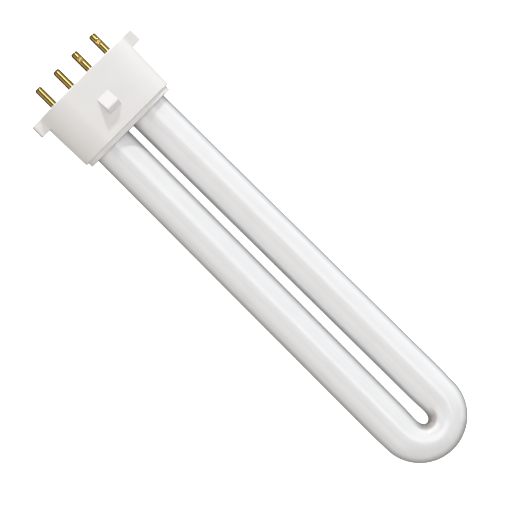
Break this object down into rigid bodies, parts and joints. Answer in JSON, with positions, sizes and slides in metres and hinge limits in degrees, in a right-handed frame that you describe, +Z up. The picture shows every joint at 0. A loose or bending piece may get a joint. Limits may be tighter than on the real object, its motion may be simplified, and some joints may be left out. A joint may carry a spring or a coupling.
{
  "type": "single-ended u-tube ultraviolet lamp",
  "caption": "Plug-in ultraviolet lamp: a narrow U of white-coated glass tube in a white moulded cap with a row of brass pins, key tabs and snap catches.",
  "frame": {"origin": "middle of the lamp on the surface that it lies on", "axes": "+X along the lamp from its pins to its bend, +Y across both limbs, +Z up"},
  "size_m": [0.162, 0.041, 0.0235],
  "materials": {
    "coated_glass": "gloss",
    "cap_plastic": "satin",
    "holder_plastic": "satin",
    "pin_brass": "polished",
    "lead_metal": "drawn wire",
    "cement": "matt"
  },
  "bodies": {
    "root": {"glass_tube": "coated_glass", "base_housing": "cap_plastic", "tube_holder": "holder_plastic", "tube_cement_1": "cement", "tube_cement_2": "cement", "contact_pin_1": "pin_brass", "contact_pin_2": "pin_brass", "contact_pin_3": "pin_brass", "contact_pin_4": "pin_brass", "lead_wire_1": "lead_metal", "lead_wire_2": "lead_metal", "lead_wire_3": "lead_metal", "lead_wire_4": "lead_metal"}
  },
  "joints": []
}
